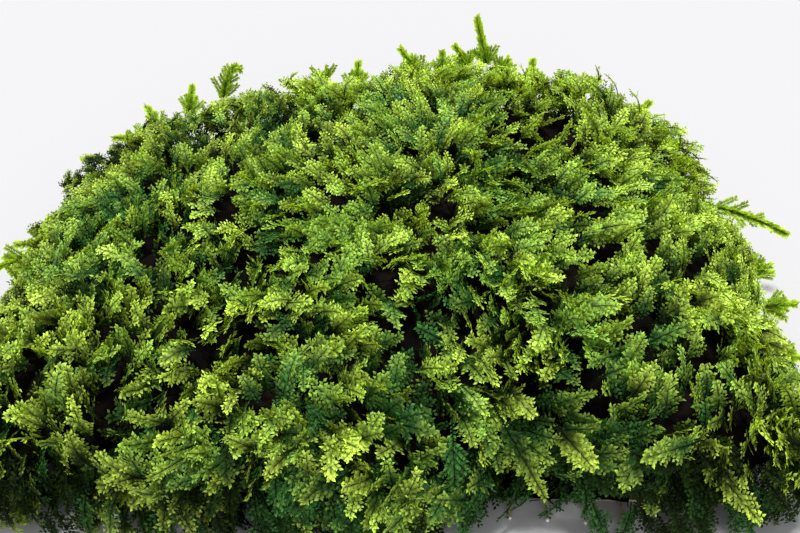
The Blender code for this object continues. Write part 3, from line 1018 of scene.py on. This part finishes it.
def leaf_turn(tree, spread):
    """Points each leaf forward and to its own side of the stem."""
    side = stored(tree, "side", "FLOAT_VECTOR")
    along = add_node(tree, "GeometryNodeInputTangent").outputs["Tangent"]
    order = add_node(tree, "GeometryNodeSplineParameter").outputs["Index"]
    way = math_node(tree, "MULTIPLY_ADD", math_node(tree, "MODULO", order, 2.0), 2.0, -1.0)
    forward = scaled(tree, along, math_node(tree, "COSINE", spread))
    reach = math_node(tree, "MULTIPLY", math_node(tree, "SINE", spread), way)
    facing = vector_node(tree, "CROSS_PRODUCT", side, along)
    lifted = scaled(tree, facing, random_number(tree, *LEAF_LIFT, 3))
    sprawl = random_vector(tree, (-LEAF_SPRAWL,) * 3, (LEAF_SPRAWL,) * 3, 4)
    heading = vector_node(tree, "ADD", vector_node(tree, "ADD", forward, scaled(tree, side, reach)),
                          vector_node(tree, "ADD", lifted, sprawl))
    twist = random_vector(tree, (-LEAF_TWIST,) * 3, (LEAF_TWIST,) * 3, 6)
    return add_node(tree, "FunctionNodeAxesToRotation", {"Primary Axis": heading,
                    "Secondary Axis": vector_node(tree, "ADD", facing, twist)},
                    primary_axis="Y", secondary_axis="Z")


def stem_tubes(tree, stems):
    """Tubes along the stems that have a thickness."""
    thickness = stored(tree, "stem")
    too_thin = add_node(tree, "FunctionNodeCompare", {"A": thickness, "B": THINNEST_STEM},
                        operation="LESS_THAN", data_type="FLOAT")
    thick = add_node(tree, "GeometryNodeDeleteGeometry", {"Geometry": stems, "Selection": too_thin},
                     domain="CURVE")
    sized = add_node(tree, "GeometryNodeSetCurveRadius", {"Curve": thick, "Radius": thickness})
    profile = add_node(tree, "GeometryNodeCurvePrimitiveCircle", {"Resolution": STEM_SIDES,
                       "Radius": 1.0})
    return add_node(tree, "GeometryNodeCurveToMesh", {"Curve": sized, "Profile Curve": profile,
                    "Scale": thickness})


def build_leaf_tree():
    takes = {"Geometry": "geometry", "Leaf": "object", "Spacing": float, "Spread": float,
             "Finish": "material"}
    tree, enter, leave = open_tree("leaf_rows", "GeometryNodeTree", takes, {"Geometry": "geometry"})
    give = enter.outputs
    stems = add_node(tree, "GeometryNodeMeshToCurve", {"Mesh": give["Geometry"]})
    spots = add_node(tree, "GeometryNodeResampleCurve", {"Curve": stems, "Length": give["Spacing"]},
                     mode="LENGTH")
    leaf = add_node(tree, "GeometryNodeObjectInfo", {"Object": give["Leaf"]})
    size = math_node(tree, "MULTIPLY", stored(tree, "leaf_size"), random_number(tree, *LEAF_SIZES, 7))
    leaves = add_node(tree, "GeometryNodeInstanceOnPoints", {"Points": spots, "Instance":
                      leaf.outputs["Geometry"], "Rotation": leaf_turn(tree, give["Spread"]),
                      "Scale": size})
    shaded = add_node(tree, "GeometryNodeStoreNamedAttribute", {"Geometry": leaves, "Name": "shade",
                      "Value": random_number(tree, 0.0, 1.0, 12)}, domain="INSTANCE",
                      data_type="FLOAT")
    both = joined(tree, stem_tubes(tree, stems), shaded)
    real = add_node(tree, "GeometryNodeRealizeInstances", {"Geometry": both})
    tree.links.new(painted(tree, real, give["Finish"]).outputs[0], leave.inputs[0])
    return tree


leaf_rows = build_leaf_tree()
print("leaf tree has", len(leaf_rows.nodes), "nodes")

# %% [markdown]
# A coat is a set of fronds of one kind. It is cut into parts by place, because one mesh of them all
# would be too heavy for a piece. Each part is dressed with leaves by the same tree.

# %% Helpers for coats of fronds
LEAF_SPACING = 0.22 * MM
LOW_LEAF_SPACING = 0.27 * MM
LEAF_SPREAD = math.radians(44)


def parts_by_place(points, columns):
    """Which part each point is in: columns by count from left to right, each halved front to back."""
    by_x = np.argsort(np.argsort(points[:, 0])) * columns // len(points)
    part = np.zeros(len(points), int)
    for column in range(columns):
        inside = by_x == column
        middle = np.median(points[inside, 1])
        part[inside] = 2 * column + (points[inside, 1] > middle)
    return part


def grow_parts(names, chains, part, spacing):
    for index, name in enumerate(names):
        base = stems_mesh(name, chains, part == index)
        item = grow(name, base, leaf_rows, Leaf=one_leaf, Spacing=spacing, Spread=LEAF_SPREAD,
                    Finish=moss_leaf)
        keep_off_floor(item)
        finish_piece(item, "moss", "moss_cushion")


def grow_coat(names, tips, facets, lengths, rise, spacing, wear, ranks):
    outs, heading, side = growth_directions(tips, facets, rise)
    chains = frond_chains(tips, outs, heading, side, lengths, wear, ranks)
    grow_parts(names, chains, parts_by_place(tips, len(names) // 2), spacing)


print("a leaf stands every", round(LEAF_SPACING / MM, 2), "mm")

# %% [markdown]
# The tufts alone would give a thin moss, so more fronds are needed between them. Their places are
# drawn at random on the facets under the tufts, as many as a facet's area allows, and each is lifted
# to a part of its tuft's height.

# %% Find places between the tufts
tuft_heights = tuft_tips - tuft_corners.mean(axis=1)
facet_crosses = np.cross(tuft_corners[:, 1] - tuft_corners[:, 0], tuft_corners[:, 2] - tuft_corners[:, 0])
facet_areas = 0.5 * np.linalg.norm(facet_crosses, axis=1)
outward = np.sign(np.sum(facet_crosses * tuft_heights, axis=1, keepdims=True))
tuft_facets = unit(facet_crosses * outward)


def between_tufts(area, lowest, highest):
    """Points spread evenly over the facets, one for each such area, at part of the tuft's height."""
    counts = (facet_areas / area + rng.uniform(0.0, 1.0, len(facet_areas))).astype(int)
    chosen = np.repeat(np.arange(len(counts)), counts)
    weights = rng.dirichlet((1.0, 1.0, 1.0), len(chosen))[:, :, None]
    spots = np.sum(tuft_corners[chosen] * weights, axis=1)
    heights = rng.uniform(lowest, highest, (len(chosen), 1)) * tuft_heights[chosen]
    return spots + heights, tuft_facets[chosen]


print("the cushion's skin measures", round(facet_areas.sum() / MM ** 2), "square millimetres")

# %% [markdown]
# The outer coat is what shows: a frond for every tuft, and more fronds whose tips lie near the
# solid's skin. A frond that falls in a hollow is likely to be left out, and the fronds get shorter
# towards the back, as in the photo.

# %% Grow the outer coat
EXTRA_FROND_AREA = 8.5 * MM ** 2
EXTRA_FROND_HEIGHTS = (0.7, 0.95)
FROND_LENGTHS = (4.5 * MM, 7.2 * MM)
FRONT_TO_BACK = (1.08, 0.75)
LENGTHS_FALL = (-30 * MM, 20 * MM)
OUTER_RISE = (0.05, 1.1)
OUTER_WEAR = 0.02
HOLLOW_LUCK = (0.30, 1.1)


def outside_hollows(tips, facets):
    kept = hollowness(tips) < rng.uniform(*HOLLOW_LUCK, len(tips))
    return tips[kept], facets[kept]


extra_tips, extra_facets = between_tufts(EXTRA_FROND_AREA, *EXTRA_FROND_HEIGHTS)
all_tips = np.concatenate([tuft_tips, extra_tips])
outer_tips, outer_facets = outside_hollows(all_tips, np.concatenate([tuft_facets, extra_facets]))
print("the outer coat has", len(outer_tips), "fronds")
by_distance = from_to(FRONT_TO_BACK, ramp(outer_tips[:, 1], *LENGTHS_FALL))
outer_lengths = rng.uniform(*FROND_LENGTHS, len(outer_tips)) * by_distance
grow_coat(["fronds_front_left", "fronds_back_left", "fronds_front_middle", "fronds_back_middle",
           "fronds_front_right", "fronds_back_right"], outer_tips, outer_facets, outer_lengths,
          OUTER_RISE, LEAF_SPACING, OUTER_WEAR, BRANCH_RANKS)

# %% [markdown]
# Under the outer coat stand older fronds whose tips are overgrown. Their dark green, partly real age and
# partly painted shade, fills the valleys, so that little of the brown heart shows. Since they are half
# hidden, they have fewer leaves.

# %% Grow the lower coat
LOW_FROND_AREA = 9.5 * MM ** 2
LOW_FROND_HEIGHTS = (0.2, 0.75)
LOW_FROND_LENGTH = 7.0 * MM
LOW_RISE = (0.0, 1.0)
# The lower coat is darker: partly older fronds, partly painted shade under the outer coat.
LOW_WEAR_AND_SHADE = 0.42
LOW_RANKS = 7
low_tips, low_facets = between_tufts(LOW_FROND_AREA, *LOW_FROND_HEIGHTS)
print("the lower coat has", len(low_tips), "fronds")
grow_coat(["low_fronds_front_left", "low_fronds_back_left", "low_fronds_front_right",
           "low_fronds_back_right"], low_tips, low_facets, np.full(len(low_tips), LOW_FROND_LENGTH),
          LOW_RISE, LOW_LEAF_SPACING, LOW_WEAR_AND_SHADE, LOW_RANKS)

# %% [markdown]
# At the rim the cushion overhangs the mesh, and loose fronds hang from it almost to the floor. Two
# are hung from each low tuft, let down by chance, so that the edge is ragged as on the real clump.

# %% Hang a fringe from the rim
FRINGE_TOP = 12.0 * MM
FRINGE_FROM_EACH = 2
FRINGE_SCATTER = 1.0 * MM
FRINGE_DROP = (2.0 * MM, 8.0 * MM)
FRINGE_LOWEST = 0.8 * MM
FRINGE_RISE = (0.0, 0.4)
FRINGE_WEAR = 0.15
FRINGE_PAINTED_SHADE_IN_HOLLOWS = 0.9
FRINGE_LIGHTER_LEFT = 0.35
FRINGE_LEFT = -30 * MM
FRINGE_LIGHTER_ENDS = 0.5
FRINGE_ENDS = (35 * MM, 85 * MM)
rim_tufts = np.repeat(np.flatnonzero(tuft_tips[:, 2] < FRINGE_TOP), FRINGE_FROM_EACH)
fringe_tips = tuft_tips[rim_tufts] + rng.normal(0.0, FRINGE_SCATTER, (len(rim_tufts), 3))
fringe_tips[:, 2] -= rng.uniform(*FRINGE_DROP, len(rim_tufts))
fringe_tips[:, 2] = np.maximum(fringe_tips[:, 2], FRINGE_LOWEST)
# Painted shade: fringe fronds in the hollows are darker, partly as older growth.
fringe_wear = FRINGE_WEAR + FRINGE_PAINTED_SHADE_IN_HOLLOWS * hollowness(fringe_tips)
# Fringe fronds are lighter towards the left and towards both ends.
fringe_wear -= FRINGE_LIGHTER_LEFT * ramp(fringe_tips[:, 0], 0.0, FRINGE_LEFT)
fringe_wear -= FRINGE_LIGHTER_ENDS * ramp(np.abs(fringe_tips[:, 0]), *FRINGE_ENDS)
print("the fringe has", len(fringe_tips), "fronds")
grow_coat(["fringe_front", "fringe_back"], fringe_tips, tuft_facets[rim_tufts],
          np.full(len(fringe_tips), LOW_FROND_LENGTH), FRINGE_RISE, LOW_LEAF_SPACING, fringe_wear,
          LOW_RANKS)

# %% [markdown]
# In front, single long fronds hang bright over the dark hollow, and a few more over the left corner.
# They can be told apart in the photo, so each is listed one by one: where it leaves the cushion and where
# it ends, in millimetres.

# %% Hang single fronds over the dark hollow in front
HANGING = [
    ((11.9, -45.0, 22.0), (12.9, -48.0, 10.0)), ((17.4, -43.0, 22.0), (23.7, -46.5, 12.0)),
    ((24.6, -43.0, 20.5), (29.2, -45.5, 16.5)), ((42.5, -42.5, 20.0), (34.0, -45.5, 19.0)),
    ((35.6, -41.5, 18.5), (32.6, -44.5, 12.5)), ((41.7, -41.5, 17.0), (50.0, -45.5, 9.0)),
    ((36.2, -41.5, 11.0), (37.4, -43.5, 7.0)), ((6.0, -47.5, 16.0), (8.5, -49.0, 9.0)),
    ((-50.0, -41.0, 9.0), (-53.5, -45.0, 3.0)), ((-46.0, -42.0, 9.0), (-48.5, -46.5, 2.5)),
    ((-42.0, -43.0, 9.0), (-44.0, -47.5, 2.0)), ((-55.0, -36.0, 9.0), (-58.0, -40.0, 3.5)),
    ((-33.0, -44.0, 9.0), (-34.0, -48.0, 1.8)), ((-27.0, -43.5, 8.0), (-26.5, -47.5, 1.8)),
]
HANGING_RANKS = 16
HANGING_WEAR = -0.3
HANGING_FACE = (0.1, -0.8, 0.6)
HANGING_FACE_CHANCE = 0.15
HANGING_OUT = (0.0, -0.3, 0.2)
feet = np.array([foot for foot, tip in HANGING]) * MM
ends = np.array([tip for foot, tip in HANGING]) * MM
hang = unit(ends - feet)
toward_front = np.array(HANGING_FACE) + rng.normal(0.0, HANGING_FACE_CHANCE, hang.shape)
hanging = frond_chains(ends, hang + HANGING_OUT, hang, unit(np.cross(toward_front, hang)),
                       np.linalg.norm(ends - feet, axis=1), HANGING_WEAR, HANGING_RANKS)
grow_parts(["hanging_fronds"], hanging, np.zeros(len(HANGING), int), LEAF_SPACING)

# %% [markdown]
# ## Single shoots
# A few shoots stand clear of the cushion, and they make its outline against the pale ground. Each
# has a solid of its own. A smooth bend is fitted through that solid's corners, and the same leaf
# tree dresses it, so each shoot starts, bows and ends where its solid does. The foot is the end that
# is nearer the clump's middle. Two need a hint: one arches over, so the bend is read from above, and
# one stands upright, so its foot is the lower end.

# %% Read each shoot's line from its solid
SHOOT_STEPS = 11
SHOOT_TIP_MARGIN = 0.9 * MM
ARCHED = ("back_curl",)
UPRIGHT = ("back_spire",)


def shoot_line(node):
    """A bent line through a shoot's solid, from its foot to its tip, and its broad side."""
    corners = points_of(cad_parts[node].data)
    middle = corners.mean(axis=0)
    axes = np.linalg.svd(corners - middle, full_matrices=False)[2]
    way = axes[0] * ((1, 1, 0) if node in ARCHED else (1, 1, 1))
    place = (corners - middle) @ way
    if (node in UPRIGHT and way[2] < 0) or (node not in UPRIGHT and middle @ way < 0):
        place = -place
    bend = np.polyfit(place, corners, 2)
    t = np.linspace(place.min(), place.max() - SHOOT_TIP_MARGIN, SHOOT_STEPS)[:, None]
    return bend[0] * t ** 2 + bend[1] * t + bend[2], axes[1]


shoots = sorted(set(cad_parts) - {"wire_mesh", "old_growth_mat", "moss_cushion"})
print("there are", len(shoots), "single shoots")

# %% [markdown]
# Young shoots are rounder than fronds. Short twigs stand all round the lower part, each a golden
# angle on from the last, so that no two lie over each other. The upright spire is bare almost from
# its foot, and the trailing sprig is branched nearly to its tip.

# %% Work out a shoot's twigs
SHOOT_LEAF = 1.3 * MM
SHOOT_BRANCHES = 14
SHOOT_BRANCH_REACH = 3.2 * MM
SHOOT_TINT = np.array([0.1])
TWIG_LEAVES = (0.8, 0.6)
TWIG_LEAN = 0.75
TWIG_BOW = 0.2
TWIG_AGES = (1.0, 0.4)
USUAL_ZONE = 0.62
ZONES = {"back_spire": 0.25, "right_trailing_sprig": 0.85}
GOLDEN_TURN = math.pi * (3 - math.sqrt(5))
AGE_AT_FOOT = 0.7
ONLY_OWNER = np.array([0])


def shoot_branches(line, along, side, zone):
    """Short side twigs all round the lower part, shorter and shorter on the way up."""
    rows = []
    share = np.linspace(0.0, 1.0, BRANCH_STEPS)
    for index in range(SHOOT_BRANCHES):
        place = zone * index / (SHOOT_BRANCHES - 1)
        step = place * (len(line) - 1)
        low = int(step)
        start = line[low] + (step - low) * (line[low + 1] - line[low])
        turn = index * GOLDEN_TURN
        out = side[low] * math.cos(turn) + np.cross(along[low], side[low]) * math.sin(turn)
        heading = unit(TWIG_LEAN * along[low] + out)
        reach = SHOOT_BRANCH_REACH * (1.0 - place) ** (1.0 / zone) * share[:, None]
        points = start + heading * reach + along[low] * TWIG_BOW * reach * share[:, None]
        flat = np.broadcast_to(unit(np.cross(np.cross(out, along[low]), heading)), points.shape)
        age = np.clip(AGE_AT_FOOT * (1.0 - place) * from_to(TWIG_AGES, share), 0.0, 1.0)
        rows.append(chain(points[None], flat[None], SHOOT_LEAF * from_to(TWIG_LEAVES, share), age,
                          SHOOT_TINT, 0.0, ONLY_OWNER))
    return rows


print("each shoot has", SHOOT_BRANCHES, "twigs of up to", SHOOT_BRANCH_REACH / MM, "mm")

# %% [markdown]
# On the shoot's own stem the leaves stand all round, as two crossed pairs of rows. Its finish is the
# younger green, which lets more light through, because these shoots are seen against the light.

# %% Dress the single shoots
SHOOT_SPACING = 0.15 * MM
SHOOT_SPREAD = math.radians(48)
SHOOT_STEMS = (0.16 * MM, 0.08 * MM)
NO_STEM = (0.0, 0.0)
SHOOT_LEAVES = (1.1, 0.85)
SHOOT_AGE = 0.45


def dress_shoot(node):
    line, broad = shoot_line(node)
    along = unit(np.gradient(line, axis=0))
    side = unit(broad - along * (along @ broad)[:, None])
    share = np.linspace(0.0, 1.0, len(line))
    size = SHOOT_LEAF * from_to(SHOOT_LEAVES, share)
    age = SHOOT_AGE * (1.0 - share) ** 2
    rows = shoot_branches(line, along, side, ZONES.get(node, USUAL_ZONE))
    for turn, stem in ((0.0, SHOOT_STEMS), (math.pi / 2, NO_STEM)):
        turned = side * math.cos(turn) + np.cross(along, side) * math.sin(turn)
        rows.append(chain(line[None], turned[None], size, age, SHOOT_TINT, from_to(stem, share),
                          ONLY_OWNER))
    item = grow("leafy_" + node, stems_mesh(node, rows), leaf_rows, Leaf=one_leaf,
                Spacing=SHOOT_SPACING, Spread=SHOOT_SPREAD, Finish=young_leaf)
    keep_off_floor(item)
    finish_piece(item, "young_shoot", node)


for node in shoots:
    dress_shoot(node)

# %% [markdown]
# ## Floor and light
# The clump rests on a plain pale surface that fills the view. A broad soft sun stands almost
# overhead, so the leaf tops are bright and the hollows dark. A weaker, wider one fills the front,
# and an even pale sky does the rest.

# %% Lay the floor and set the light
FLOOR_COLOUR = (0.522, 0.517, 0.529, 1.0)
SKY_COLOUR = (0.97, 0.98, 1.0, 1.0)
SKY_STRENGTH = 0.36


def plain_floor():
    bpy.ops.mesh.primitive_plane_add(size=4.0)
    item = bpy.context.object
    item.name = "floor"
    made, tree, shader = new_finish("pale_floor", 0.9, shine=0.2)
    shader.inputs["Base Color"].default_value = FLOOR_COLOUR
    item.data.materials.append(made)


def soft_sun(name, tilt, turn, strength, softness):
    light = bpy.data.lights.new(name, "SUN")
    light.energy = strength
    light.angle = math.radians(softness)
    item = bpy.data.objects.new(name, light)
    item.rotation_euler = (math.radians(tilt), 0.0, math.radians(turn))
    bpy.context.scene.collection.objects.link(item)
    print(name, "has strength", strength)


def pale_sky():
    world = bpy.data.worlds.new("pale_sky")
    world.use_nodes = True
    world.node_tree.nodes["Background"].inputs["Color"].default_value = SKY_COLOUR
    world.node_tree.nodes["Background"].inputs["Strength"].default_value = SKY_STRENGTH
    bpy.context.scene.world = world


plain_floor()
soft_sun("soft_sun", tilt=-2.0, turn=-20.0, strength=4.0, softness=12.0)
soft_sun("front_fill", tilt=58.0, turn=10.0, strength=0.85, softness=60.0)
pale_sky()
bpy.context.scene.view_settings.view_transform = "Standard"
